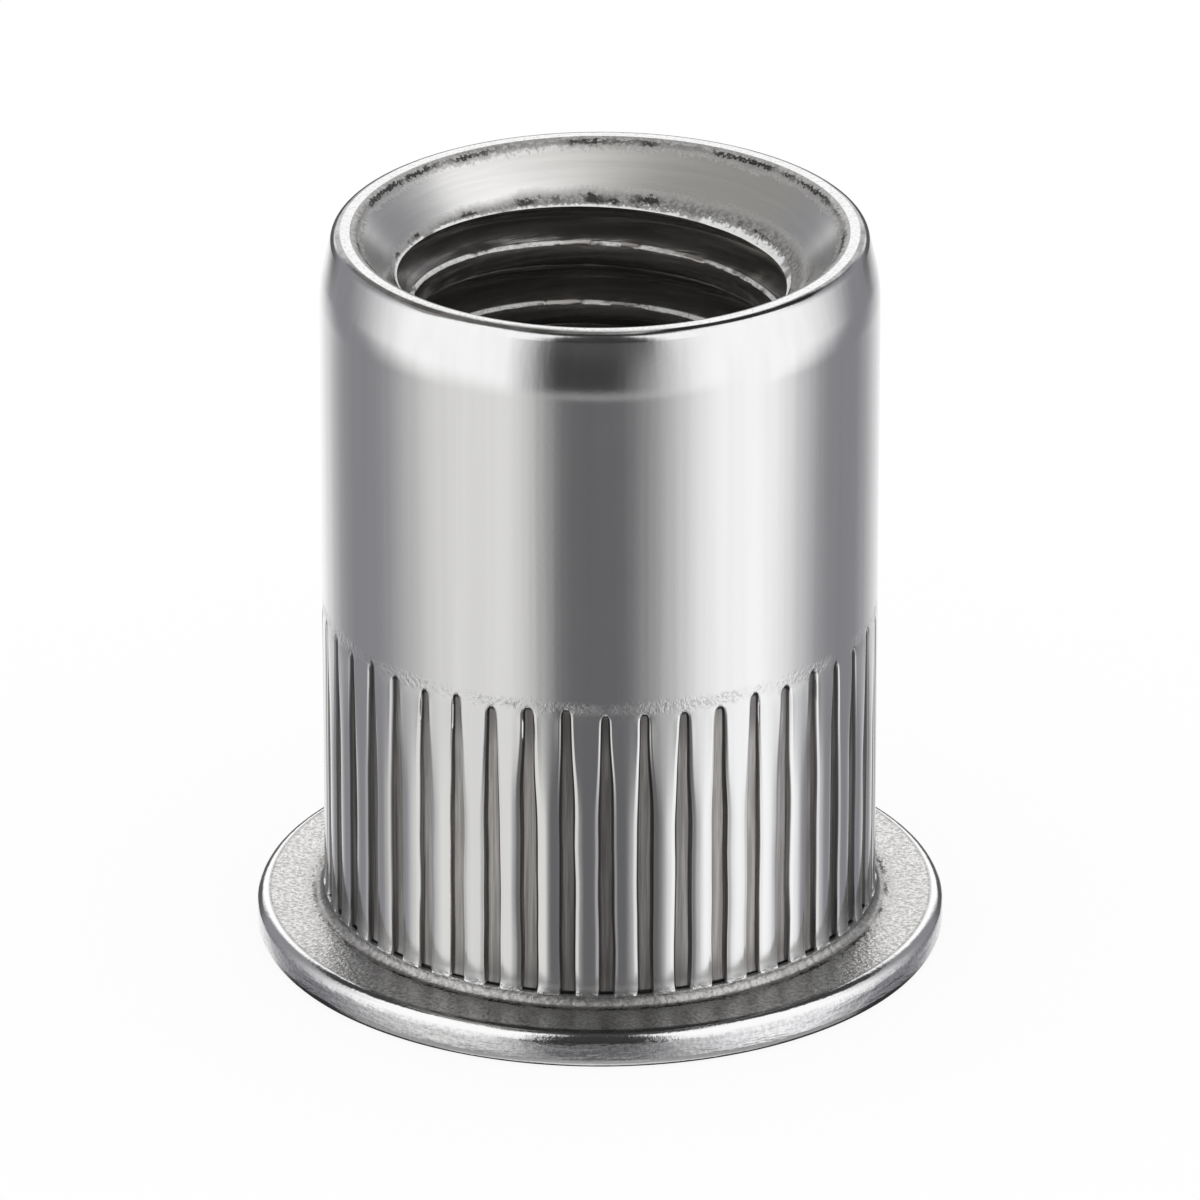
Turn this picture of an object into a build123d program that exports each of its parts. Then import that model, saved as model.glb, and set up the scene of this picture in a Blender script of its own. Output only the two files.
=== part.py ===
from build123d import *
from math import radians, tan
import os

# Knurled open-end rivet nut for an M10 screw, pressed and turned from one piece of stainless steel.
# Sizes are in millimetres. The nut stands on the outer face of its flange, which is at height 0,
# and its axis is the vertical Z axis. The threaded end is at the top.

# Whole nut
total_length = 17.5
barrel_dia = 12.9

# Flange, which stays outside the sheet
flange_dia = 16.1
flange_thickness = 0.88
flange_slope_width = 0.31
flange_slope_angle = 20
flange_top_break = 0.2
flange_bottom_break = 0.18
foot_fillet = 0.2

# Shoulder and lip at the threaded end
shoulder_length = 1.3
shoulder_step = 0.29
shoulder_blend = 3.0
lip_round = 0.25
lip_land = 0.49
countersink_half_angle = 45

# Bore: a clearance hole for the screw where the wall folds, then the threaded length
screw_dia = 10.0
thread_height = 0.7
screw_clearance = 0.45
clearance_depth = 7.6
clearance_half_angle = 45
mouth_chamfer = 0.2

# Knurl: straight grooves rolled into the barrel, which bite the sheet
groove_count = 45
first_groove_angle = -88.7
foot_collar = 0.03
groove_length = 7.15
groove_depth = 0.14
groove_floor_width = 0.3
groove_side_angle = 30
runout_length = 2.7
tip_depth = 0.09
tip_floor_width = 0.14
tip_ramp = 0.35

# Worked out from the sizes above
barrel_radius = barrel_dia / 2
flange_radius = flange_dia / 2
shoulder_height = total_length - shoulder_length
lip_radius = barrel_radius - shoulder_step
countersink_radius = lip_radius - lip_land
screw_radius = screw_dia / 2
thread_minor_radius = screw_radius - thread_height
clearance_radius = screw_radius + screw_clearance
groove_foot = flange_thickness + foot_fillet + foot_collar
flange_slope_radius = flange_radius - flange_slope_width
rim_height = flange_thickness - flange_slope_width * tan(radians(flange_slope_angle))


def cone_height(wide_radius, narrow_radius, half_angle):
    """Height of a cone between two radii, from its half angle."""
    return (wide_radius - narrow_radius) / tan(radians(half_angle))


def ring_edges(solid, radius, height):
    """The circular edges of a turned solid at one radius and one height."""
    near = 1e-4
    return [
        edge
        for edge in solid.edges().filter_by(GeomType.CIRCLE)
        if abs(edge.radius - radius) < near and abs(edge.arc_center.Z - height) < near
    ]


def turned_blank():
    """Barrel, flange, shoulder and bore as one turned section, then its rounded and broken edges."""
    thread_top = total_length - cone_height(
        countersink_radius, thread_minor_radius, countersink_half_angle
    )
    thread_bottom = clearance_depth + cone_height(
        clearance_radius, thread_minor_radius, clearance_half_angle
    )
    section = [
        (clearance_radius + mouth_chamfer, 0),
        (flange_radius, 0),
        (flange_radius, rim_height),
        (flange_slope_radius, flange_thickness),
        (barrel_radius, flange_thickness),
        (barrel_radius, shoulder_height),
        (lip_radius, total_length),
        (countersink_radius, total_length),
        (thread_minor_radius, thread_top),
        (thread_minor_radius, thread_bottom),
        (clearance_radius, clearance_depth),
        (clearance_radius, mouth_chamfer),
    ]
    blank = revolve(make_face(Plane.XZ * Polyline(*section, close=True)), Axis.Z)
    rounded_rings = [
        (barrel_radius, flange_thickness, foot_fillet),
        (barrel_radius, shoulder_height, shoulder_blend),
        (lip_radius, total_length, lip_round),
    ]
    for radius, height, rounding in rounded_rings:
        blank = fillet(ring_edges(blank, radius, height), rounding)
    blank = chamfer(ring_edges(blank, flange_radius, rim_height), flange_top_break)
    return chamfer(ring_edges(blank, flange_radius, 0), flange_bottom_break)


def groove_section(height, depth, floor_width):
    """Trapezoid that a groove cuts at one height: a flat floor and two leaning sides."""
    floor_radius = barrel_radius - depth
    outer_radius = barrel_radius + groove_depth
    half_floor = floor_width / 2
    half_mouth = half_floor + (outer_radius - floor_radius) * tan(radians(groove_side_angle))
    corners = [
        (floor_radius, -half_floor),
        (outer_radius, -half_mouth),
        (outer_radius, half_mouth),
        (floor_radius, half_floor),
    ]
    return make_face(Plane.XY.offset(height) * Polyline(*corners, close=True))


def groove_cutter():
    """One groove on the +X side, full at the foot, narrowing and rising out of the metal at its tip."""
    tip_height = groove_foot + groove_length
    sections = [
        groove_section(groove_foot, groove_depth, groove_floor_width),
        groove_section(tip_height - runout_length, groove_depth, groove_floor_width),
        groove_section(tip_height - tip_ramp, tip_depth, tip_floor_width),
        groove_section(tip_height, 0, tip_floor_width / 2),
    ]
    return loft(sections, ruled=True)


def knurl_cutters():
    """The groove repeated evenly round the barrel."""
    groove = groove_cutter()
    step = 360 / groove_count
    return [Rot(0, 0, first_groove_angle + step * index) * groove for index in range(groove_count)]


nut_body = turned_blank() - knurl_cutters()
nut_body.label = "nut_body"

os.makedirs("parts", exist_ok=True)
export_step(nut_body, "parts/nut_body.step")
print("nut_body volume", round(nut_body.volume, 2), "mm3, solids", len(nut_body.solids()))
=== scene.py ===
# %% [markdown]
# # A knurled rivet nut in bright stainless steel
# A rivet nut gives a thin sheet a strong screw thread. It is pressed and turned from one piece: a low
# flange that stays outside the sheet, a knurled wall that bites it, a plain barrel, and a lip with a
# countersink where the thread begins. This lesson builds it the way a lathe, a knurling roll and a tap
# would, and then lights it like a small metal part on a studio table.

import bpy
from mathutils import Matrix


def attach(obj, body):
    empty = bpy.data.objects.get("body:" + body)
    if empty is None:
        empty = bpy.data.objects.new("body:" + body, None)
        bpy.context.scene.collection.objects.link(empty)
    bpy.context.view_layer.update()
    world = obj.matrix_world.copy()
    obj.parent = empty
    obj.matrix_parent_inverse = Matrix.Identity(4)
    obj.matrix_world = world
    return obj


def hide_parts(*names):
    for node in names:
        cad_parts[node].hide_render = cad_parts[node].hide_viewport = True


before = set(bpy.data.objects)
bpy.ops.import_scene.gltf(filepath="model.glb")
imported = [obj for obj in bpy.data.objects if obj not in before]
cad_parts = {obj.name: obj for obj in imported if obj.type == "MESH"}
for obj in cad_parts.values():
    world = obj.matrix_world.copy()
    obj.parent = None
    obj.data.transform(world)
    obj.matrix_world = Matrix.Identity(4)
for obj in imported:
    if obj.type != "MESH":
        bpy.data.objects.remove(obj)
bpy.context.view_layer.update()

# %% Tools and units
import random
from math import atan2, cos, degrees, hypot, pi, radians, sin

import bmesh
import bpy
from mathutils import Matrix, Vector, noise

MM = 0.001
scene = bpy.context.scene

# %% [markdown]
# ## The camera
# The photograph was taken from a little above with a long lens, so that the nut's sides look almost
# parallel. A long lens far away could also be an orthographic camera, but the flange's ellipse is a
# little rounder than the lip's, which only a real distance gives.

# %% Camera
camera_distance = 295.2 * MM
camera_elevation = radians(24.17)
aim_height = 8.2 * MM

camera_data = bpy.data.cameras.new("camera")
camera_data.lens = 381.0
camera_data.sensor_width = 36.0
camera_data.clip_start = 0.01
camera = bpy.data.objects.new("camera", camera_data)
scene.collection.objects.link(camera)
camera.location = (0, -camera_distance * cos(camera_elevation),
                   aim_height + camera_distance * sin(camera_elevation))
camera.rotation_euler = (pi / 2 - camera_elevation, 0, 0)
scene.camera = camera
print("camera looks down", round(degrees(camera_elevation), 1), "degrees")

# %% [markdown]
# ## The turned section
# On the real nut every ring is round about one axis, so half of its cross-section says it all. It could
# be a stack of cylinders and cones, but a wire of a dozen corners is easier to read: bevel rounds each
# corner by its own amount, as a turner breaks the edges, and a spin makes the solid later.

# %% The section's corners
groove_count = 45
first_groove_angle = radians(-88.7)
barrel_radius = 6.45
flange_top = 0.88
foot_fillet = 0.2
groove_foot = 1.11
groove_tip = 8.26
bore_radius = 4.2

# radius, height, how much the corner is cut back, and how many faces round it
section_corners = {
    "bore mouth": (5.65, 0.0, 0.03, 2),
    "flange foot": (8.03, 0.0, 0.2, 6),
    "rim": (8.05, flange_top, 0.31, 10),
    "barrel foot": (barrel_radius, flange_top, foot_fillet, 6),
    "shoulder": (barrel_radius, 16.2, 0.34, 7),
    "lip": (6.16, 17.5, 0.2, 8),
    "countersink": (5.67, 17.5, 0.12, 5),
    "thread start": (bore_radius, 16.03, 0, 0),
    "thread end": (bore_radius, 8.85, 0, 0),
    "clearance": (5.45, 7.6, 0.05, 2),
    "clearance mouth": (5.45, 0.2, 0.03, 2),
}

nut_mesh = bmesh.new()
corner_verts = {
    name: nut_mesh.verts.new((radius * MM, 0, height * MM))
    for name, (radius, height, cut, faces) in section_corners.items()
}
in_order = list(corner_verts.values())
for start, end in zip(in_order, in_order[1:] + in_order[:1]):
    nut_mesh.edges.new((start, end))
print("section corners", len(nut_mesh.verts))

# %% Round the corners
for name, (radius, height, cut, faces) in section_corners.items():
    if cut:
        bmesh.ops.bevel(nut_mesh, geom=[corner_verts[name]], offset=cut * MM, offset_type="OFFSET",
                        segments=faces, profile=0.5, affect="VERTICES", material=-1)
print("section points after rounding", len(nut_mesh.verts))

# %% [markdown]
# ## Rows for the knurl
# The knurl changes along the height only where a groove starts, narrows and ends. So the outer wall of
# the section gets close rows at the groove's foot and tip and wider ones between, and the rest of the
# wall stays one long face.

# %% Rows on the outer wall
def even_rows(low, high, count):
    """Heights that divide a stretch of wall evenly, with both ends."""
    return [low + (high - low) * step / count for step in range(count + 1)]


knurl_rows = [groove_foot + step for step in (-0.012, 0, 0.016, 0.045, 0.1)] + [1.3]
knurl_rows += even_rows(1.4, 5.3, 9) + even_rows(5.6, 7.7, 7) + [7.9]
knurl_rows += even_rows(8.04, 8.4, 10) + [8.5, 8.62, 8.72, 8.8, 8.9]


def outer_wall(bm):
    """The upright edges and points of the section's outer wall."""
    inner, outer = (barrel_radius - 0.05) * MM, (barrel_radius + 0.01) * MM
    wall = [e for e in bm.edges if all(inner < v.co.x < outer for v in e.verts)]
    return wall + list({v for e in wall for v in e.verts})


for height in knurl_rows:
    bmesh.ops.bisect_plane(nut_mesh, geom=outer_wall(nut_mesh), dist=1e-9,
                           plane_co=(0, 0, height * MM), plane_no=(0, 0, 1))
print("section points with the knurl's rows", len(nut_mesh.verts))

# %% [markdown]
# ## One pitch, then the whole turn
# A spin of 720 steps would give enough columns for the grooves, but slowly. So the section is spun
# through one groove's share of the turn, and that sector is repeated 45 times by a second spin that
# only copies. The columns stand closest at the groove's edges, where the shape changes.

# %% Spin one pitch
pitch_angle = 2 * pi / groove_count
pitch_arc = barrel_radius * pitch_angle
# distance of each column from the groove's middle, in mm along the barrel
column_arcs = [0.0, 0.08, 0.135, 0.168, 0.2, 0.23, 0.262, 0.3, 0.37, pitch_arc / 2]
columns = [-arc for arc in column_arcs[:0:-1]] + column_arcs[:-1]

bmesh.ops.rotate(nut_mesh, verts=nut_mesh.verts, cent=(0, 0, 0),
                 matrix=Matrix.Rotation(first_groove_angle - pitch_angle / 2, 3, "Z"))
bmesh.ops.spin(nut_mesh, geom=nut_mesh.verts[:] + nut_mesh.edges[:], cent=(0, 0, 0), axis=(0, 0, 1),
               dvec=(0, 0, 0), angle=pitch_angle, steps=len(columns), use_merge=False,
               use_duplicate=False)
# the spin's even columns move to their own places
for vert in nut_mesh.verts:
    turn = atan2(vert.co.y, vert.co.x) - first_groove_angle + pitch_angle / 2
    column = round((turn % (2 * pi)) / pitch_angle * len(columns)) % (groove_count * len(columns))
    if 0 < column < len(columns):
        angle = first_groove_angle + columns[column] / barrel_radius
        radius = hypot(vert.co.x, vert.co.y)
        vert.co.x, vert.co.y = radius * cos(angle), radius * sin(angle)
print("faces in one pitch", len(nut_mesh.faces))

# %% Repeat it round the axis
bmesh.ops.spin(nut_mesh, geom=nut_mesh.verts[:] + nut_mesh.edges[:] + nut_mesh.faces[:], cent=(0, 0, 0),
               axis=(0, 0, 1), dvec=(0, 0, 0), angle=2 * pi, steps=groove_count, use_merge=False,
               use_duplicate=True)
bmesh.ops.remove_doubles(nut_mesh, verts=nut_mesh.verts, dist=0.0005 * MM)
bmesh.ops.recalc_face_normals(nut_mesh, faces=nut_mesh.faces)
open_edges = sum(not edge.is_manifold for edge in nut_mesh.edges)
print("faces in the blank", len(nut_mesh.faces), "open edges", open_edges)

# %% [markdown]
# ## Rolling the knurl
# A knurling roll presses straight grooves into the barrel and pushes the metal up beside them, so the
# lands between are faintly crowned and no two grooves are quite alike. At the foot the lands lean out
# a little, into the fillet. Cutting 45 wedges away would leave razor edges. Moving the blank's own
# points keeps the edges rounded, and lets every groove have its own length, width and slight wander,
# as on the photographed nut.

# %% Sizes of the knurl
groove_depth = 0.14
# half widths of the groove's floor, of its walls and of its rounded edges
floor_half, wall_half, edge_half = 0.135, 0.2, 0.3
edge_share = 0.14
narrowing_start, narrowing = 5.2, 0.4
crown_height = 0.012
bead_height = 0.012
foot_flare, flare_top = 0.035, 1.5
knurl_top = 8.7

groove_random = random.Random(45)
grooves = [
    {
        "tip": groove_tip + groove_random.uniform(-0.1, 0.1),
        "foot": groove_random.uniform(-0.012, 0.035),
        "width": groove_random.uniform(0.92, 1.08),
        "depth": groove_random.uniform(0.92, 1.08),
        "lean": groove_random.uniform(-0.02, 0.02),
        "seed": groove_random.uniform(0, 100),
    }
    for _ in range(groove_count)
]
print("grooves", len(grooves), "of", round(pitch_arc, 2), "mm pitch")


# %% Shape of one groove
def smooth(value):
    """Eases a value between 0 and 1."""
    value = min(max(value, 0.0), 1.0)
    return value * value * (3 - 2 * value)


def runout(groove, height):
    """0 along the groove, rising to 1 at its tip over the last few millimetres."""
    return smooth((height - narrowing_start) / (groove["tip"] - narrowing_start))


def groove_narrowing(groove, height):
    """How narrow the groove is at a height: 1 below, and a rounded end at its tip."""
    below_tip = groove["tip"] - height
    if below_tip < 0:
        return 0.25 + 0.75 * smooth(-below_tip / 0.4)
    round_end = (1 - (1 - min(below_tip / 0.25, 1)) ** 2) ** 0.5
    return groove["width"] * (1 - narrowing * runout(groove, height)) * max(round_end, 0.45)


def groove_push(groove, height):
    """How deep the groove's floor lies at a height, in mm."""
    if height < groove_foot + 0.002:
        return 0.0
    tip = smooth((groove["tip"] - height) / 0.12)
    return groove_depth * groove["depth"] * (1 - narrowing * runout(groove, height)) * tip


def across_groove(arc):
    """Share of the full depth across the groove: flat floor, steep wall, rounded edge."""
    if arc > wall_half:
        return edge_share * smooth((edge_half - arc) / (edge_half - wall_half)) ** 1.3
    return edge_share + (1 - edge_share) * smooth((wall_half - arc) / (wall_half - floor_half))


def flare_at(radius, height):
    """How far the wall's foot leans outwards, in mm. It ends where the fillet meets the flange."""
    share = min(max((flare_top - height) / (flare_top - groove_foot), 0), 1)
    return foot_flare * share ** 2 * smooth((barrel_radius + foot_fillet - radius) / foot_fillet)


# %% Press the grooves
collar = groove_foot - 0.03
for vert in nut_mesh.verts:
    radius, height = hypot(vert.co.x, vert.co.y) / MM, vert.co.z / MM
    on_fillet = flange_top - 0.01 < height <= collar and radius < barrel_radius + foot_fillet
    if radius < barrel_radius - 0.15 or not (on_fillet or collar < height < knurl_top):
        continue
    if on_fillet:
        lean_out = 1 + flare_at(radius, height) / radius
        vert.co.x, vert.co.y = vert.co.x * lean_out, vert.co.y * lean_out
        continue
    turn = (atan2(vert.co.y, vert.co.x) - first_groove_angle + pitch_angle / 2) % (2 * pi)
    index = int(turn / pitch_angle + 1e-6) % groove_count
    arc = (turn - (index + 0.5) * pitch_angle) * barrel_radius
    if arc > pitch_arc:
        arc -= 2 * pi * barrel_radius
    groove = grooves[index]
    near_foot = smooth((height - groove_foot) / 0.15)
    narrow = 1 + (groove_narrowing(groove, height) - 1) * near_foot
    # the groove's edges wander a little along its length
    side = 1 if arc > 0 else -1
    wander = 0.03 * noise.noise(Vector((groove["seed"], side * 5.0, height * 0.7)))
    wander += groove["lean"] * (height - 4.5) / 4.5
    wander *= near_foot * smooth((knurl_top - height) / 0.3)
    reach = smooth((pitch_arc / 2 - abs(arc)) / 0.15)
    inner = min(abs(arc), edge_half)
    moved_arc = arc + (side * inner * (narrow - 1) + wander) * reach
    push = groove_push(groove, height) * across_groove(abs(arc))
    # the crowned land and the bead beside the tip, which fade out at the tip and at the foot
    fade = near_foot * smooth((groove["tip"] - 0.05 - height) / 0.35)
    land = max(abs(arc) - edge_half, 0) / (pitch_arc / 2 - edge_half)
    crown = crown_height * (1 - (1 - land) ** 2) if land > 0 else 0
    bead = bead_height * runout(groove, height) * smooth(1 - abs(abs(arc) - 0.262) / 0.09)
    angle = first_groove_angle + index * pitch_angle + moved_arc / barrel_radius
    new_radius = (radius - push + (crown + bead) * fade + flare_at(radius, height)) * MM
    vert.co.x, vert.co.y = new_radius * cos(angle), new_radius * sin(angle)
    # each groove ends at its own height at the foot
    lift = groove["foot"] * smooth((edge_half - abs(arc)) / 0.1) * smooth((1.35 - height) / 0.2)
    vert.co.z += lift * MM
print("pressed", groove_count, "grooves")


# %% Keep the blank as an object
def new_object(name, bm):
    """Turns a finished bmesh into an object at the origin."""
    mesh = bpy.data.meshes.new(name)
    bm.to_mesh(mesh)
    bm.free()
    made = bpy.data.objects.new(name, mesh)
    scene.collection.objects.link(made)
    print(name, "has", len(mesh.polygons), "faces")
    return made


nut = new_object("rivet_nut_visual", nut_mesh)

# %% [markdown]
# ## Tapping the thread
# The real thread is cut by a tap, and a tap is what this step makes: its toothed outline is spun one
# turn while it climbs one pitch, so that each turn meets the next. A Boolean then cuts it from the
# blank. Modelling the thread straight into the bore would need the same helix and a hand-made join at
# the countersink, which the Boolean does by itself, run-in and all.

# %% The tap's outline
thread_pitch = 1.5
thread_minor, thread_major = 4.3, 5.0
crest_flat, root_flat = 0.56, 0.16
thread_phase = 1.02
tap_foot = 4.7
tap_turns, tap_steps = 10, 240

# one pitch of the outline: distance up from the crest's middle, and radius
flank = (thread_pitch - crest_flat - root_flat) / 2
tooth = [
    (0.0, thread_minor),
    (crest_flat / 2 - 0.05, thread_minor + 0.004),
    (crest_flat / 2, thread_minor + 0.03),
    (crest_flat / 2 + 0.04, thread_minor + 0.09),
    (crest_flat / 2 + flank - 0.03, thread_major - 0.05),
    (crest_flat / 2 + flank + 0.02, thread_major),
    (crest_flat / 2 + flank + root_flat - 0.02, thread_major),
    (crest_flat / 2 + flank + root_flat + 0.03, thread_major - 0.05),
    (thread_pitch - crest_flat / 2 - 0.04, thread_minor + 0.09),
    (thread_pitch - crest_flat / 2, thread_minor + 0.03),
    (thread_pitch - crest_flat / 2 + 0.05, thread_minor + 0.004),
]
outline = [
    (radius, tap_foot + thread_phase + turn * thread_pitch + rise)
    for turn in range(tap_turns)
    for rise, radius in tooth
]
outline.append((thread_minor, tap_foot + thread_phase + tap_turns * thread_pitch))

tap_mesh = bmesh.new()
points = [(0, outline[0][1])] + outline + [(0, outline[-1][1])]
tap_verts = [tap_mesh.verts.new((radius * MM, 0, height * MM)) for radius, height in points]
for start, end in zip(tap_verts, tap_verts[1:]):
    tap_mesh.edges.new((start, end))
print("points on the tap's outline", len(tap_verts))

# %% Spin it up one pitch
bmesh.ops.spin(tap_mesh, geom=tap_mesh.verts[:] + tap_mesh.edges[:], cent=(0, 0, 0), axis=(0, 0, 1),
               dvec=(0, 0, thread_pitch * MM / tap_steps), angle=2 * pi, steps=tap_steps,
               use_merge=False, use_duplicate=False)
bmesh.ops.remove_doubles(tap_mesh, verts=tap_mesh.verts, dist=0.0005 * MM)
bmesh.ops.holes_fill(tap_mesh, edges=[e for e in tap_mesh.edges if e.is_boundary], sides=0)
bmesh.ops.recalc_face_normals(tap_mesh, faces=tap_mesh.faces)
open_edges = sum(not edge.is_manifold for edge in tap_mesh.edges)
print("tap faces", len(tap_mesh.faces), "open edges", open_edges)

# %% Tear the crests
# a tap leaves the crests of a soft steel a little torn
for vert in tap_mesh.verts:
    radius, height = hypot(vert.co.x, vert.co.y) / MM, vert.co.z / MM
    if thread_minor - 0.01 < radius < thread_minor + 0.05:
        place = Vector((vert.co.x / MM * 2.2, vert.co.y / MM * 2.2, height * 2.2))
        torn = max(noise.noise(place), 0) ** 2 * max(noise.noise(place * 4.1), 0)
        scale = 1 + 0.12 * torn / radius
        vert.co.x, vert.co.y = vert.co.x * scale, vert.co.y * scale
        vert.co.z += 0.015 * noise.noise(place * 2.3 + Vector((9, 0, 0))) * MM

tap = new_object("tap", tap_mesh)

# %% Cut the thread
tapping = nut.modifiers.new("tapped", "BOOLEAN")
tapping.operation = "DIFFERENCE"
tapping.solver = "MANIFOLD"
tapping.object = tap
depsgraph = bpy.context.evaluated_depsgraph_get()
tapped_mesh = bpy.data.meshes.new_from_object(nut.evaluated_get(depsgraph))
tapped_mesh.name = "rivet_nut_visual"
nut.modifiers.clear()
nut.data = tapped_mesh
bpy.data.objects.remove(tap)
print("tapped nut has", len(nut.data.polygons), "faces")

# %% [markdown]
# ## Smooth shading
# Turned metal shows long unbroken reflections, so the faces are shaded smooth. Where two faces meet
# sharply, such as at a thread's crest, the edge stays sharp, or the reflection would smear round it.

# %% Shade it
nut.data.polygons.foreach_set("use_smooth", [True] * len(nut.data.polygons))
nut.data.set_sharp_from_angle(angle=radians(38))
nut.data.update()
print("smooth faces", sum(face.use_smooth for face in nut.data.polygons))

# %% [markdown]
# ## Where on the nut is this point?
# The nut's finishes follow its shape: the flange is sandy, the groove floors are dull, the lip is
# bright. They could be painted by hand. Here a small node group works out each point's radius and height
# from its Object coordinates, and every finish is placed by those two numbers.

# %% Helpers for node trees
def link(tree, source, target):
    tree.links.new(source, target)


def math_node(tree, operation, first, second=None, third=None):
    """A Math node. Each input is a number or another node's output."""
    node = tree.nodes.new("ShaderNodeMath")
    node.operation = operation
    for socket, value in zip(node.inputs, (first, second, third)):
        if value is None:
            continue
        if isinstance(value, (int, float)):
            socket.default_value = value
        else:
            link(tree, value, socket)
    return node.outputs[0]


def times(tree, first, second):
    """The product of two masks or values."""
    return math_node(tree, "MULTIPLY", first, second)


def scaled(tree, value, factor, offset):
    """A value times a factor, plus an offset."""
    return math_node(tree, "MULTIPLY_ADD", value, factor, offset)


def ramp_between(tree, value, low, high, curve="SMOOTHSTEP"):
    """0 at low, 1 at high, eased between them, or straight with the curve LINEAR."""
    node = tree.nodes.new("ShaderNodeMapRange")
    node.interpolation_type = curve
    node.inputs["From Min"].default_value = low
    node.inputs["From Max"].default_value = high
    link(tree, value, node.inputs["Value"])
    return node.outputs["Result"]


def mix_colours(tree, factor, first, second):
    """A Mix node for colours. Each input is a colour or another node's output."""
    node = tree.nodes.new("ShaderNodeMix")
    node.data_type = "RGBA"
    # a Mix node keeps its factor at input 0 and its two colours at 6 and 7
    for socket, value in zip((node.inputs[0], node.inputs[6], node.inputs[7]), (factor, first, second)):
        if isinstance(value, (int, float)):
            socket.default_value = value
        elif isinstance(value, tuple):
            socket.default_value = (*value, 1)
        else:
            link(tree, value, socket)
    return node.outputs[2]


# %% Radius and height as a node group
place_group = bpy.data.node_groups.new("place on the nut", "ShaderNodeTree")
place_group.interface.new_socket("Radius", in_out="OUTPUT", socket_type="NodeSocketFloat")
place_group.interface.new_socket("Height", in_out="OUTPUT", socket_type="NodeSocketFloat")
place_group.interface.new_socket("Millimetres", in_out="OUTPUT", socket_type="NodeSocketVector")
group_out = place_group.nodes.new("NodeGroupOutput")
coordinates = place_group.nodes.new("ShaderNodeTexCoord")
in_mm = place_group.nodes.new("ShaderNodeVectorMath")
in_mm.operation = "SCALE"
in_mm.inputs["Scale"].default_value = 1 / MM
link(place_group, coordinates.outputs["Object"], in_mm.inputs[0])
axes = place_group.nodes.new("ShaderNodeSeparateXYZ")
link(place_group, in_mm.outputs[0], axes.inputs[0])
across_squared = times(place_group, axes.outputs["X"], axes.outputs["X"])
deep_squared = times(place_group, axes.outputs["Y"], axes.outputs["Y"])
radius_squared = math_node(place_group, "ADD", across_squared, deep_squared)
link(place_group, math_node(place_group, "SQRT", radius_squared), group_out.inputs["Radius"])
link(place_group, axes.outputs["Z"], group_out.inputs["Height"])
link(place_group, in_mm.outputs[0], group_out.inputs["Millimetres"])
print(place_group.name, "has", len(place_group.nodes), "nodes")

# %% [markdown]
# ## Fine marks in the metal
# Rolled and pressed steel is never flat: the barrel has faint upright streaks, the turned faces have
# faint rings, the flange has a grain like fine sand, and wear comes and goes in clouds. All four are
# noise, stretched along the axis, flattened across it, or left round at two sizes. One node group holds
# them for every finish, and each finish takes what it needs.

# %% Noise textures
def noise_texture(tree, vector, scale, detail, roughness):
    """A noise texture that reads a vector."""
    node = tree.nodes.new("ShaderNodeTexNoise")
    node.inputs["Scale"].default_value = scale
    node.inputs["Detail"].default_value = detail
    node.inputs["Roughness"].default_value = roughness
    link(tree, vector, node.inputs["Vector"])
    return node.outputs["Fac"]


def stretched(tree, vector, scale):
    """The same vector, stretched along each axis."""
    node = tree.nodes.new("ShaderNodeMapping")
    node.inputs["Scale"].default_value = scale
    link(tree, vector, node.inputs["Vector"])
    return node.outputs["Vector"]


# %% Streaks, rings, grain and clouds as a node group
marks_group = bpy.data.node_groups.new("marks in the metal", "ShaderNodeTree")
marks_group.interface.new_socket("Millimetres", in_out="INPUT", socket_type="NodeSocketVector")
for mark in ("Streaks", "Rings", "Grain", "Cloud"):
    marks_group.interface.new_socket(mark, in_out="OUTPUT", socket_type="NodeSocketFloat")
marks_in = marks_group.nodes.new("NodeGroupInput")
marks_out = marks_group.nodes.new("NodeGroupOutput")
in_mm = marks_in.outputs["Millimetres"]
streaks = noise_texture(marks_group, stretched(marks_group, in_mm, (2.3, 2.3, 0.04)), 1.0, 2.0, 0.5)
rings = noise_texture(marks_group, stretched(marks_group, in_mm, (0.25, 0.25, 6)), 1.0, 4.0, 0.6)
grain = noise_texture(marks_group, in_mm, 10.0, 3.0, 0.65)
cloud = noise_texture(marks_group, in_mm, 0.9, 3.0, 0.55)
link(marks_group, streaks, marks_out.inputs["Streaks"])
link(marks_group, rings, marks_out.inputs["Rings"])
link(marks_group, grain, marks_out.inputs["Grain"])
link(marks_group, cloud, marks_out.inputs["Cloud"])
print(marks_group.name, "has", len(marks_group.nodes), "nodes")


# %% Start a steel
def new_steel(name):
    """A material with a Principled shader, and the nut's place and marks ready to use."""
    material = bpy.data.materials.new(name)
    material.use_nodes = True
    tree = material.node_tree
    shader = tree.nodes["Principled BSDF"]
    shader.inputs["Metallic"].default_value = 1.0
    place = tree.nodes.new("ShaderNodeGroup")
    place.node_tree = place_group
    marks = tree.nodes.new("ShaderNodeGroup")
    marks.node_tree = marks_group
    link(tree, place.outputs["Millimetres"], marks.inputs["Millimetres"])
    return material, tree, shader, place.outputs, marks.outputs


def add_bump(tree, shader, height, depth):
    """Bump from a height of about 0 to 1, depth in mm."""
    bump = tree.nodes.new("ShaderNodeBump")
    bump.inputs["Strength"].default_value = 1.0
    bump.inputs["Distance"].default_value = depth * MM
    link(tree, height, bump.inputs["Height"])
    link(tree, bump.outputs["Normal"], shader.inputs["Normal"])


# %% Masks along a radius or a height
def fade_out(tree, value, low, high):
    """1 at low, 0 at high, eased between them."""
    return ramp_between(tree, times(tree, value, -1), -high, -low)


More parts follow.
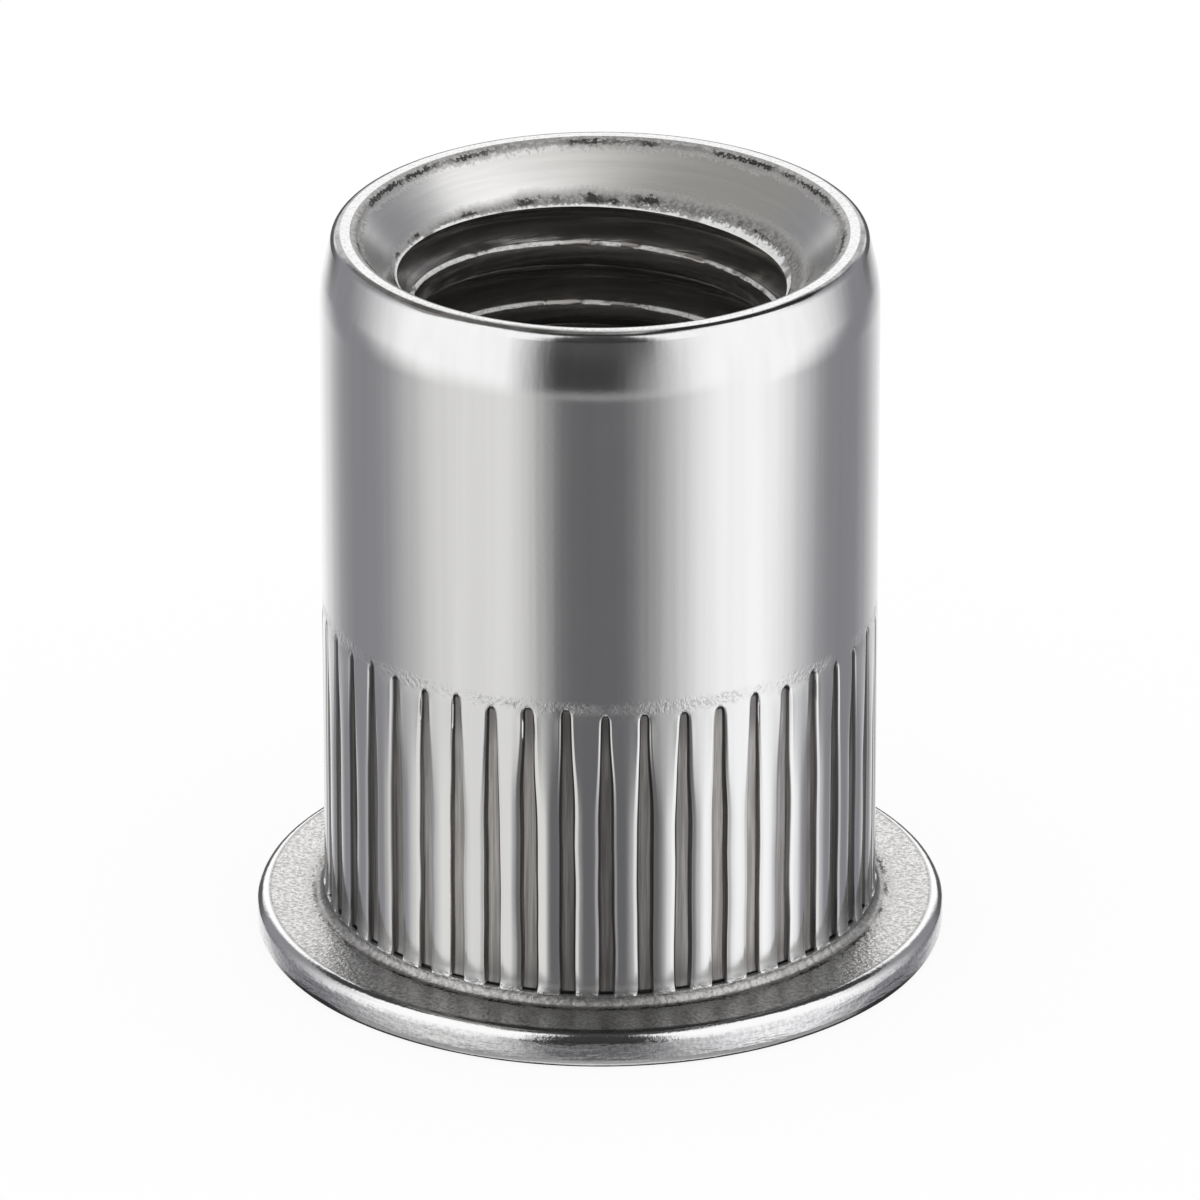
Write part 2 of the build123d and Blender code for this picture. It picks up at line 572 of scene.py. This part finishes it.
def band(tree, value, low, high, soft):
    """1 between two values, fading to 0 over a soft edge outside them."""
    rise = ramp_between(tree, value, low - soft, low)
    return times(tree, rise, fade_out(tree, value, high, high + soft))


def either(tree, first, second):
    """The stronger of two masks."""
    return math_node(tree, "MAXIMUM", first, second)


def centred(tree, mark):
    """A mark between -0.5 and 0.5 instead of 0 and 1."""
    return math_node(tree, "SUBTRACT", mark, 0.5)


# %% [markdown]
# ## Polished barrel with dull groove floors
# The barrel and lip are bright and reflect the room in soft upright bands. The roll leaves the groove
# floors greyer, warmer and matt, and dents the metal where it ran out. Two materials would need a hard
# border, so one material fades from the bright steel to the dull one by how far a point lies below the
# barrel's radius.

# %% Barrel: the grooves
bright_steel, streaked_steel = (0.92, 0.92, 0.922), (0.87, 0.87, 0.872)
dull_steel, scored_steel = (0.5, 0.482, 0.468), (0.33, 0.317, 0.305)
# the groove walls' colour is painted shade
wall_shade = (0.2, 0.19, 0.185)

barrel_steel, tree, shader, place, marks = new_steel("stainless_barrel")
depth = math_node(tree, "SUBTRACT", barrel_radius, place["Radius"])
on_knurl = times(tree, ramp_between(tree, place["Height"], groove_foot - 0.02, groove_foot + 0.02),
                 fade_out(tree, place["Height"], 8.3, 8.6))
in_groove = times(tree, ramp_between(tree, depth, 0.03, 0.07), on_knurl)
on_wall = times(tree, band(tree, depth, 0.045, 0.08, 0.02), on_knurl)
foot_shadow = times(tree, band(tree, place["Height"], groove_foot, groove_foot + 0.05, 0.03), in_groove)
scores = noise_texture(tree, stretched(tree, place["Millimetres"], (11, 11, 0.35)), 1.0, 3.0, 0.6)
floor_tint = mix_colours(tree, ramp_between(tree, scores, 0.35, 0.62), dull_steel, scored_steel)
wall_tint = mix_colours(tree, ramp_between(tree, marks["Streaks"], 0.3, 0.7), streaked_steel, bright_steel)
tint = mix_colours(tree, in_groove, wall_tint, floor_tint)
# painted shade on the groove walls
tint = mix_colours(tree, times(tree, on_wall, 0.8), tint, wall_shade)
# painted shadow: near-black at the foot of each groove, where its end lies in shade
tint = mix_colours(tree, foot_shadow, tint, (0.05, 0.05, 0.05))

# %% Barrel: the lip and the specks above the grooves
on_lip = times(tree, ramp_between(tree, place["Height"], 17.4, 17.47),
               ramp_between(tree, marks["Grain"], 0.5, 0.62))
tint = mix_colours(tree, on_lip, tint, (0.74, 0.74, 0.74))
# painted shade: a dark line along the lip's outer edge, darker in some places than in others
lip_edge_shade = times(tree, band(tree, place["Radius"], 5.99, 6.09, 0.03),
                 ramp_between(tree, place["Height"], 17.44, 17.47))
lip_edge_shade = times(tree, lip_edge_shade, scaled(tree, marks["Cloud"], 1.4, -0.1))
tint = mix_colours(tree, lip_edge_shade, tint, (0.08, 0.08, 0.08))
rolled = times(tree, band(tree, place["Height"], 8.28, 8.4, 0.2),
               scaled(tree, ramp_between(tree, marks["Cloud"], 0.38, 0.6), 0.7, 0.3))
specks = times(tree, times(tree, rolled, 0.5), ramp_between(tree, marks["Grain"], 0.54, 0.66))
tint = mix_colours(tree, specks, tint, (0.45, 0.45, 0.45))
link(tree, tint, shader.inputs["Base Color"])

# %% Barrel: polish and dents
# the lands' foot is a little matt, so that it shows no clear reflection of the flange
dull_foot = fade_out(tree, place["Height"], 1.25, 1.75)
link(tree, scaled(tree, dull_foot, -0.04, 1.0), shader.inputs["Metallic"])
roughness = scaled(tree, dull_foot, 0.1, scaled(tree, in_groove, 0.2, 0.11))
link(tree, scaled(tree, marks["Cloud"], 0.05, roughness), shader.inputs["Roughness"])
# dents that the roll leaves above the grooves' tips and at their feet
dented = either(tree, rolled, band(tree, place["Height"], 1.08, 1.16, 0.08))
dents = times(tree, centred(tree, marks["Grain"]), dented)
scored = times(tree, centred(tree, scores), in_groove)
surface = scaled(tree, marks["Grain"], 0.2, marks["Streaks"])
surface = scaled(tree, dents, 5.5, scaled(tree, scored, 2.0, surface))
add_bump(tree, shader, surface, 0.0035)
print(barrel_steel.name, "has", len(tree.nodes), "nodes")

# %% [markdown]
# ## Countersink with a torn edge
# The countersink is turned to a satin cone. The tool tears both of its edges a little, and the tap
# raises a burr along the thread's first turn, painted white as a bright highlight. Ragged near-black lines
# run just inside the lip and beside the burr. A painted map could hold these marks, but they have to
# follow the thread, so the shader works out the thread's outline again and measures from it. Torn metal
# scatters light in every direction, so part of it is no mirror, and its Metallic value drops.

# %% How far a point lies outside the thread
def past_thread(tree, place):
    """Distance from the thread's edge to a point, down the countersink, in mm of radius."""
    axes = tree.nodes.new("ShaderNodeSeparateXYZ")
    link(tree, place["Millimetres"], axes.inputs[0])
    turn = times(tree, math_node(tree, "ARCTAN2", axes.outputs["Y"], axes.outputs["X"]), 0.5 / pi)
    pitches = scaled(tree, place["Height"], 1 / thread_pitch, -(tap_foot + thread_phase) / thread_pitch)
    above_crest = math_node(tree, "SUBTRACT", pitches, turn)
    # 0 at the middle of a crest and 0.5 at the middle of a root
    from_crest = math_node(tree, "PINGPONG", above_crest, 0.5)
    opened = ramp_between(tree, from_crest, crest_flat / 2 / thread_pitch,
                          (crest_flat / 2 + flank) / thread_pitch, "LINEAR")
    outline_radius = scaled(tree, opened, thread_major - thread_minor, thread_minor)
    outside = math_node(tree, "SUBTRACT", place["Radius"], outline_radius)
    # a line down the countersink meets a flank that faces down much faster than one that faces up
    faces_down = math_node(tree, "GREATER_THAN", math_node(tree, "FRACT", above_crest), 0.5)
    return math_node(tree, "DIVIDE", outside, scaled(tree, faces_down, 1.9, 0.9))


# %% Countersink: torn edges, ragged dark lines and the burr's painted highlight
countersink_steel, tree, shader, place, marks = new_steel("stainless_countersink")
uneven, grit = centred(tree, marks["Cloud"]), centred(tree, marks["Grain"])
low_radius = scaled(tree, grit, -0.12, scaled(tree, uneven, -0.25, place["Radius"]))
high_radius = scaled(tree, grit, 0.35, scaled(tree, uneven, 0.3, place["Radius"]))
torn = either(tree, fade_out(tree, low_radius, 4.6, 4.84),
              times(tree, ramp_between(tree, high_radius, 5.42, 5.56), 0.8))
# ragged near-black lines: a band just inside the lip, and a line beside the burr
ragged_line_radius = scaled(tree, grit, 0.3, place["Radius"])
ragged_dark_lines = times(tree, band(tree, ragged_line_radius, 5.57, 5.62, 0.025),
              scaled(tree, ramp_between(tree, marks["Cloud"], 0.42, 0.56), 0.75, 0.25))
# the burr with its painted highlight, and the dark line beside it, stop where the last trace of the thread
# runs out
by_thread = fade_out(tree, place["Radius"], 4.86, 4.98)
from_thread = scaled(tree, grit, 0.16, past_thread(tree, place))
burr_highlight = times(tree, fade_out(tree, from_thread, 0.035, 0.06),
             ramp_between(tree, marks["Cloud"], 0.36, 0.46))
burr_highlight = times(tree, burr_highlight, by_thread)
dark_line_by_burr = times(tree, band(tree, from_thread, 0.085, 0.115, 0.02),
              ramp_between(tree, marks["Cloud"], 0.5, 0.58))
ragged_dark_lines = either(tree, ragged_dark_lines, times(tree, dark_line_by_burr, by_thread))

# %% Countersink: colour, scatter and relief
torn_tint = mix_colours(tree, ramp_between(tree, marks["Grain"], 0.4, 0.62),
                        (0.24, 0.235, 0.23), (0.46, 0.45, 0.44))
turned_tint = mix_colours(tree, ramp_between(tree, marks["Rings"], 0.35, 0.65),
                          (0.86, 0.855, 0.845), (0.92, 0.915, 0.905))
tint = mix_colours(tree, torn, turned_tint, torn_tint)
tint = mix_colours(tree, ragged_dark_lines, tint, (0.05, 0.05, 0.05))
# painted highlight: the burr is white and partly no mirror
link(tree, mix_colours(tree, burr_highlight, tint, (1.0, 1.0, 1.0)), shader.inputs["Base Color"])
scatter = either(tree, times(tree, torn, 0.6), times(tree, burr_highlight, 0.85))
link(tree, scaled(tree, scatter, -1, 1.0), shader.inputs["Metallic"])
link(tree, scaled(tree, scatter, 0.25, 0.25), shader.inputs["Roughness"])
surface = scaled(tree, times(tree, marks["Grain"], torn), 0.9, times(tree, marks["Rings"], 0.2))
surface = scaled(tree, times(tree, marks["Grain"], burr_highlight), 3.0, surface)
add_bump(tree, shader, surface, 0.012)
print(countersink_steel.name, "has", len(tree.nodes), "nodes")

# %% [markdown]
# ## Sandy flange with a burnished rim
# The die leaves the flange's flat top sandy and a little pitted, and polishes the rounded rim. Shade is
# painted in: the foot's ring is darker, dark flecks thicken towards the barrel, and dark lines lie in the
# creases. The rim's rounded edges are painted brighter, as polish with a painted highlight. Separate
# materials would meet in hard lines, so one material blends four zones by radius and height: the foot's
# ring, the flat top, the rim's side and its burnished edges.

# %% Flange: its zones
flange_steel, tree, shader, place, marks = new_steel("stainless_flange")
foot_ring = fade_out(tree, place["Radius"], 6.64, 6.72)
on_top = times(tree, ramp_between(tree, place["Height"], 0.862, 0.874),
               fade_out(tree, place["Radius"], 7.74, 7.78))
matt = either(tree, on_top, foot_ring)
# the rim's rounded edges: polish, with a painted highlight in their brighter colour
burnished_highlight = either(tree, ramp_between(tree, place["Height"], 0.66, 0.74),
                   fade_out(tree, place["Height"], 0.16, 0.24))
# painted shade: dark creases, a ragged one at the foot's ring and a faint one where the rim begins
ragged_radius = scaled(tree, centred(tree, marks["Grain"]), 0.35, place["Radius"])
crease_shade = times(tree, band(tree, ragged_radius, 6.68, 6.72, 0.03), on_top)
crease_shade = times(tree, crease_shade, ramp_between(tree, marks["Cloud"], 0.42, 0.58))
crease_shade = either(tree, crease_shade, times(tree, band(tree, place["Radius"], 7.725, 7.775, 0.025), 0.3))

# %% Flange: colour
speckle = ramp_between(tree, marks["Grain"], 0.36, 0.62)
side_tint = mix_colours(tree, speckle, (0.7, 0.7, 0.715), (0.9, 0.9, 0.91))
top_tint = mix_colours(tree, speckle, (0.6, 0.585, 0.57), (1.0, 0.99, 0.98))
# painted shade: the foot's ring is darker, and dark flecks thicken towards the foot
foot_shade_tint = mix_colours(tree, speckle, (0.4, 0.39, 0.38), (0.66, 0.65, 0.64))
shade_flecks = times(tree, fade_out(tree, place["Radius"], 6.7, 7.05),
                ramp_between(tree, marks["Grain"], 0.52, 0.6))
top_tint = mix_colours(tree, shade_flecks, top_tint, (0.2, 0.195, 0.19))
tint = mix_colours(tree, burnished_highlight, side_tint, (0.96, 0.96, 0.96))
tint = mix_colours(tree, on_top, tint, top_tint)
tint = mix_colours(tree, foot_ring, tint, foot_shade_tint)
tint = mix_colours(tree, crease_shade, tint, (0.06, 0.06, 0.06))
link(tree, tint, shader.inputs["Base Color"])

# %% Flange: polish and relief
roughness = scaled(tree, foot_ring, 0.08, scaled(tree, matt, 0.15, 0.1))
link(tree, roughness, shader.inputs["Roughness"])
link(tree, scaled(tree, matt, -0.05, 1.0), shader.inputs["Metallic"])
# the rim keeps the wavy marks of the die, and the flat and the foot are pitted
ripples = noise_texture(tree, stretched(tree, place["Millimetres"], (1.0, 1.0, 5)), 1.0, 4.0, 0.6)
pitted = times(tree, marks["Grain"], scaled(tree, matt, 1.1, 0.2))
on_rim = times(tree, math_node(tree, "SUBTRACT", 1.0, matt), scaled(tree, burnished_highlight, -0.6, 1.0))
add_bump(tree, shader, scaled(tree, times(tree, ripples, on_rim), 1.7, pitted), 0.016)
print(flange_steel.name, "has", len(tree.nodes), "nodes")

# %% [markdown]
# ## Thread in painted shade, with bare crests
# Inside the bore the thread's colour is painted dark as shade, and only the torn upper edge of each crest
# is bare and catches light, painted bright as a highlight. That edge could be its own strip of faces, but
# it is broken and uneven, so a mask finds it: close to the minor diameter, and facing partly upwards.

# %% Thread
thread_steel, tree, shader, place, marks = new_steel("stainless_thread")
facing = tree.nodes.new("ShaderNodeNewGeometry")
facing_axes = tree.nodes.new("ShaderNodeSeparateXYZ")
link(tree, facing.outputs["Normal"], facing_axes.inputs[0])
# painted highlight: torn crest faces that look partly upwards are painted bright
upper_edge = band(tree, facing_axes.outputs["Z"], 0.35, 0.85, 0.1)
bare_and_lit = times(tree, fade_out(tree, place["Radius"], 4.37, 4.41), upper_edge)
bare_and_lit = times(tree, bare_and_lit, ramp_between(tree, marks["Cloud"], 0.4, 0.52))
bare_lit_tint = mix_colours(tree, ramp_between(tree, marks["Grain"], 0.36, 0.52),
                        (0.7, 0.69, 0.68), (1.0, 1.0, 1.0))
# painted shade: the thread's colour is dark, as the bore's shade
shaded_thread_tint = mix_colours(tree, ramp_between(tree, marks["Rings"], 0.35, 0.65),
                        (0.36, 0.345, 0.33), (0.6, 0.58, 0.56))
link(tree, mix_colours(tree, bare_and_lit, shaded_thread_tint, bare_lit_tint), shader.inputs["Base Color"])
scatter = scaled(tree, bare_and_lit, 0.8, 0.055)
link(tree, scaled(tree, scatter, -1, 1.0), shader.inputs["Metallic"])
link(tree, scaled(tree, bare_and_lit, 0.1, 0.18), shader.inputs["Roughness"])
add_bump(tree, shader, scaled(tree, times(tree, bare_and_lit, marks["Grain"]), 4.0, marks["Rings"]), 0.014)
print(thread_steel.name, "has", len(tree.nodes), "nodes")

# %% [markdown]
# ## Which face gets which steel
# A face can't be told from its neighbours by a name, so its centre decides: in the bore it is thread,
# on the cone above it countersink, low and outside it flange, and everything else is barrel. Faces of
# the thread's run-in lie close to the cone, so these are told apart by the way they face.

# %% Give each face its steel
nut.data.materials.clear()
for material in (barrel_steel, flange_steel, thread_steel, countersink_steel):
    nut.data.materials.append(material)
# on the countersink's cone a point's height less its radius is the same everywhere
cone_offset = section_corners["thread start"][1] - bore_radius
for face in nut.data.polygons:
    radius, height = hypot(face.center.x, face.center.y) / MM, face.center.z / MM
    on_cone = abs(height - radius - cone_offset) < 0.005 and 0.69 < face.normal.z < 0.72
    in_thread = radius < thread_major + 0.02 and height < 16.9 and not on_cone
    on_flange = height < groove_foot - 0.02 and radius > 5.6
    in_countersink = radius < 5.73 and height > 15.9
    face.material_index = 2 if in_thread else 3 if in_countersink else 1 if on_flange else 0
used = [face.material_index for face in nut.data.polygons]
print("faces of barrel, flange, thread and countersink", [used.count(slot) for slot in range(4)])

# %% Stand in for the CAD node
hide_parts("nut_body")
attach(nut, "root")

# %% [markdown]
# ## Floor
# The nut stands on a plain white table. The floor's colour makes the white, and a little of the nut's
# own shade keeps it standing on something. Inside the bore the table is in shade, which a small disc
# gives: the camera sees white paper there in what light comes down the bore, and the metal a dark table.

# %% Floor
white = (1.0, 1.0, 1.0)
floor_mesh = bmesh.new()
bmesh.ops.create_grid(floor_mesh, x_segments=1, y_segments=1, size=1.5)
floor = new_object("floor", floor_mesh)
floor_material = bpy.data.materials.new("white_table")
floor_material.use_nodes = True
tree = floor_material.node_tree
tree.nodes.remove(tree.nodes["Principled BSDF"])
output = tree.nodes["Material Output"]
paper = tree.nodes.new("ShaderNodeBsdfDiffuse")
paper.inputs["Color"].default_value = (*white, 1)
glow = tree.nodes.new("ShaderNodeEmission")
glow.inputs["Color"].default_value = (*white, 1)
share = tree.nodes.new("ShaderNodeMixShader")
share.inputs[0].default_value = 0.88
link(tree, paper.outputs[0], share.inputs[1])
link(tree, glow.outputs[0], share.inputs[2])
link(tree, share.outputs[0], output.inputs["Surface"])
floor.data.materials.append(floor_material)
floor.visible_glossy = False

# %% Shade inside the bore
shade_mesh = bmesh.new()
bmesh.ops.create_circle(shade_mesh, cap_ends=True, cap_tris=False, segments=64, radius=5.6 * MM)
bmesh.ops.translate(shade_mesh, verts=shade_mesh.verts, vec=(0, 0, 0.02 * MM))
shade = new_object("shade", shade_mesh)
shade_material = bpy.data.materials.new("shaded_table")
shade_material.use_nodes = True
tree = shade_material.node_tree
shader = tree.nodes["Principled BSDF"]
ray = tree.nodes.new("ShaderNodeLightPath")
seen = mix_colours(tree, ray.outputs["Is Camera Ray"], (0.03, 0.03, 0.03), white)
link(tree, seen, shader.inputs["Base Color"])
shader.inputs["Roughness"].default_value = 0.9
shade.data.materials.append(shade_material)

# %% [markdown]
# ## A card over the mouth
# The countersink faces straight up, where the tent has its opening, and would turn black. A
# photographer holds a card there. This one fades from grey to pale across its width, so the cone shades
# from one side to the other, and only reflections see it.

# %% Card over the mouth
flag_mesh = bmesh.new()
bmesh.ops.create_grid(flag_mesh, x_segments=1, y_segments=1, size=7.5 * MM)
bmesh.ops.translate(flag_mesh, verts=flag_mesh.verts, vec=(-5.5 * MM, 3 * MM, 25 * MM))
flag = new_object("grey_card", flag_mesh)
flag_material = bpy.data.materials.new("grey_card")
flag_material.use_nodes = True
tree = flag_material.node_tree
tree.nodes.remove(tree.nodes["Principled BSDF"])
across_card = tree.nodes.new("ShaderNodeSeparateXYZ")
card_place = tree.nodes.new("ShaderNodeTexCoord")
link(tree, card_place.outputs["Object"], across_card.inputs[0])
lighter = ramp_between(tree, across_card.outputs["X"], -2.0 * MM, 1.6 * MM)
glow = tree.nodes.new("ShaderNodeEmission")
link(tree, mix_colours(tree, lighter, (0.27, 0.262, 0.25), (0.8, 0.79, 0.78)), glow.inputs["Color"])
link(tree, glow.outputs[0], tree.nodes["Material Output"].inputs["Surface"])
flag.data.materials.append(flag_material)
flag.visible_camera = False
flag.visible_diffuse = False
flag.visible_shadow = False

# %% [markdown]
# ## The studio
# Polished steel has no colour of its own: it shows the room. The room here is a white tent with a few
# soft grey cards, which could be real planes, but a world shader gives the same cards at any distance
# without blocking the camera. Each card is a soft-edged patch in a direction round the nut.

# %% Direction of a ray
world = bpy.data.worlds.new("studio")
scene.world = world
world.use_nodes = True
tree = world.node_tree
tree.nodes.clear()
sky = tree.nodes.new("ShaderNodeTexCoord")
look = tree.nodes.new("ShaderNodeSeparateXYZ")
link(tree, sky.outputs["Generated"], look.inputs[0])
# azimuth from the photographer's side, positive to the right, and elevation, both in degrees
towards = times(tree, look.outputs["Y"], -1)
azimuth = times(tree, math_node(tree, "ARCTAN2", look.outputs["X"], towards), 180 / pi)
elevation = times(tree, math_node(tree, "ARCSINE", look.outputs["Z"]), 180 / pi)


# %% Soft cards
def card(side, left, right, soft_left, soft_right, low, high, soft_height):
    """Mask of a soft-edged card between two azimuths and two elevations, in degrees."""
    across = times(tree, ramp_between(tree, side, left - soft_left, left),
                   fade_out(tree, side, right, right + soft_right))
    upright = times(tree, ramp_between(tree, elevation, low - soft_height, low),
                    fade_out(tree, elevation, high, high + soft_height))
    return times(tree, across, upright)


def grey_room(mask, grey):
    """The room with one more grey where a mask says so."""
    return mix_colours(tree, mask, room, (grey, grey, grey))


# the side cards lean back with their height
lean = times(tree, ramp_between(tree, elevation, -24, -6), 20)
to_right = math_node(tree, "SUBTRACT", azimuth, lean)
to_left = math_node(tree, "ADD", azimuth, lean)
behind = math_node(tree, "ABSOLUTE", azimuth)

# a faintly warm wall on the left, a wide grey card on each side, and dark ones by the camera
room = mix_colours(tree, card(azimuth, -120, -25, 30, 20, -40, -20, 14), white, (0.75, 0.745, 0.73))
room = mix_colours(tree, card(to_left, -122, -108, 50, 50, -60, 34, 14), room, (0.25, 0.25, 0.265))
room = mix_colours(tree, card(to_right, 112, 126, 46, 55, -60, 34, 14), room, (0.24, 0.24, 0.255))
room = mix_colours(tree, card(azimuth, -12, 6, 26, 52, -60, -18, 9), room, (0.13, 0.13, 0.135))
room = grey_room(card(azimuth, -17, 4, 24, 44, -9, 4, 9), 0.045)
room = grey_room(card(azimuth, -18, 18, 12, 12, 10, 120, 10), 0.035)
# the open top of the tent, and the dark room behind and above it
room = grey_room(ramp_between(tree, elevation, 66, 78), 0.05)
room = grey_room(card(behind, 122, 200, 14, 5, 41, 120, 5), 0.04)
# a bright card low behind the nut lights every flat that faces up, with a dark gap below it
room = grey_room(card(behind, 156, 200, 12, 5, 10, 36, 5), 1.05)
room = grey_room(card(behind, 148, 200, 10, 5, -13, 4, 5), 0.1)
# the table below, and the shade under the nut's far side
room = grey_room(fade_out(tree, elevation, -43, -31), 0.33)
room = grey_room(fade_out(tree, elevation, -70, -58), 0.6)
room = grey_room(card(behind, 120, 200, 20, 5, -80, -36, 8), 0.03)
print("room has", len(tree.nodes), "nodes")

# %% Less light in the nut's own corners
# a ray that has met the metal twice comes from a corner, such as where the flange meets the barrel,
# and there the nut's own shade hides part of the tent
ray = tree.nodes.new("ShaderNodeLightPath")
again = math_node(tree, "GREATER_THAN", ray.outputs["Glossy Depth"], 1.5)
under_top = fade_out(tree, elevation, 64, 76)
room = grey_room(times(tree, times(tree, again, under_top), 0.66), 0.0)
room = grey_room(times(tree, again, card(azimuth, -80, 80, 20, 20, 42, 120, 8)), 0.02)

# %% Who sees the cards
# the metal sees the white tent with its cards, and all else sees plain white
seen = mix_colours(tree, ray.outputs["Is Glossy Ray"], white, room)
backdrop = tree.nodes.new("ShaderNodeBackground")
backdrop.inputs["Strength"].default_value = 1.0
link(tree, seen, backdrop.inputs["Color"])
world_out = tree.nodes.new("ShaderNodeOutputWorld")
link(tree, backdrop.outputs[0], world_out.inputs["Surface"])

scene.view_settings.view_transform = "Standard"
print("view transform", scene.view_settings.view_transform)
